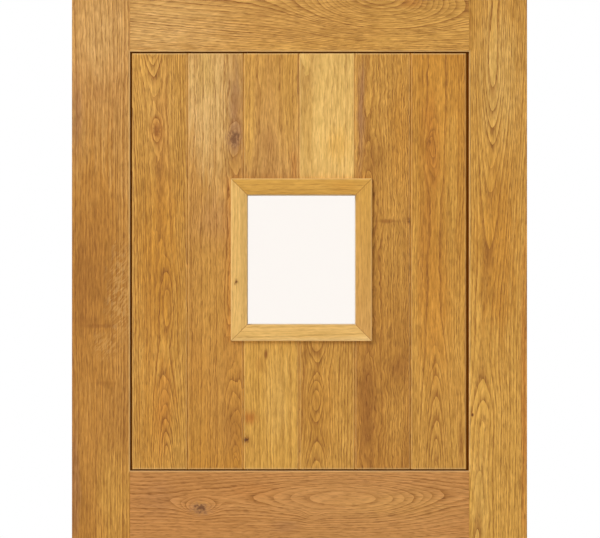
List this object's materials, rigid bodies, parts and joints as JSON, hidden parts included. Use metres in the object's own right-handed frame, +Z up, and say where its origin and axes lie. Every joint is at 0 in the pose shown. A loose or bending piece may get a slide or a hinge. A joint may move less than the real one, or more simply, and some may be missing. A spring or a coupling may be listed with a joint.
{
  "type": "stable door",
  "caption": "Oak stable door in its frame: two framed leaves of V-jointed boards that swing outwards separately, the upper one with a small glazed light.",
  "frame": {"origin": "middle of the sill's underside across the door, in the plane of the leaves' back faces", "axes": "+X to the right seen from outside, +Y into the building, +Z up"},
  "size_m": [0.838, 0.159, 2.017],
  "materials": {
    "oak": "satin",
    "glass": "gloss",
    "spacer": "satin",
    "seal": "matte",
    "block": "matte",
    "steel": "satin"
  },
  "bodies": {
    "frame": {"bottom_hinges_frame_flaps": "steel", "frame_head": "oak", "frame_hinge_jamb": "oak", "frame_lock_jamb": "oak", "frame_screws": "steel", "frame_sill": "oak", "frame_strike_plate": "steel", "frame_weather_seal": "seal", "hinge_pins": "steel", "top_hinges_frame_flaps": "steel"},
    "top_leaf": {"glass_setting_blocks": "block", "glass_spacer_bar": "spacer", "glazing_tapes": "seal", "inner_bead_bottom": "oak", "inner_bead_left": "oak", "inner_bead_right": "oak", "inner_bead_top": "oak", "inner_glass_pane": "glass", "outer_bead_bottom": "oak", "outer_bead_left": "oak", "outer_bead_right": "oak", "outer_bead_top": "oak", "outer_glass_pane": "glass", "tie_bolt_plate": "steel", "top_hinges_leaf_flaps": "steel", "top_leaf_board_1": "oak", "top_leaf_board_2": "oak", "top_leaf_board_3_lower": "oak", "top_leaf_board_3_upper": "oak", "top_leaf_board_4_lower": "oak", "top_leaf_board_4_upper": "oak", "top_leaf_board_5": "oak", "top_leaf_board_6": "oak", "top_leaf_hinge_stile": "oak", "top_leaf_lock_stile": "oak", "top_leaf_meeting_rail": "oak", "top_leaf_screws": "steel", "top_leaf_top_rail": "oak", "top_leaf_trimmer_bottom": "oak", "top_leaf_trimmer_left": "oak", "top_leaf_trimmer_right": "oak", "top_leaf_trimmer_top": "oak"},
    "bottom_leaf": {"bottom_bolt_plate": "steel", "bottom_hinges_leaf_flaps": "steel", "bottom_leaf_board_1": "oak", "bottom_leaf_board_2": "oak", "bottom_leaf_board_3": "oak", "bottom_leaf_board_4": "oak", "bottom_leaf_board_5": "oak", "bottom_leaf_board_6": "oak", "bottom_leaf_bottom_rail": "oak", "bottom_leaf_brace": "oak", "bottom_leaf_hinge_stile": "oak", "bottom_leaf_lock_stile": "oak", "bottom_leaf_meeting_rail": "oak", "bottom_leaf_screws": "steel", "tie_bolt_keep": "steel"},
    "tie_bolt": {"tie_bolt_rod": "steel"},
    "bottom_bolt": {"bottom_bolt_rod": "steel"}
  },
  "joints": [
    {"name": "top_leaf_swing", "type": "hinge", "parent": "frame", "child": "top_leaf", "pos_m": [-0.413, 0.001, 1.5205], "axis": [0, 0, -1], "range_deg": [0, 95]},
    {"name": "bottom_leaf_swing", "type": "hinge", "parent": "frame", "child": "bottom_leaf", "pos_m": [-0.413, 0.001, 0.5285], "axis": [0, 0, -1], "range_deg": [0, 95]},
    {"name": "tie_bolt_slide", "type": "slide", "parent": "top_leaf", "child": "tie_bolt", "axis": [0, 0, -1], "range_m": [0, 0.028]},
    {"name": "bottom_bolt_slide", "type": "slide", "parent": "bottom_leaf", "child": "bottom_bolt", "axis": [1, 0, 0], "range_m": [0, 0.028]}
  ]
}
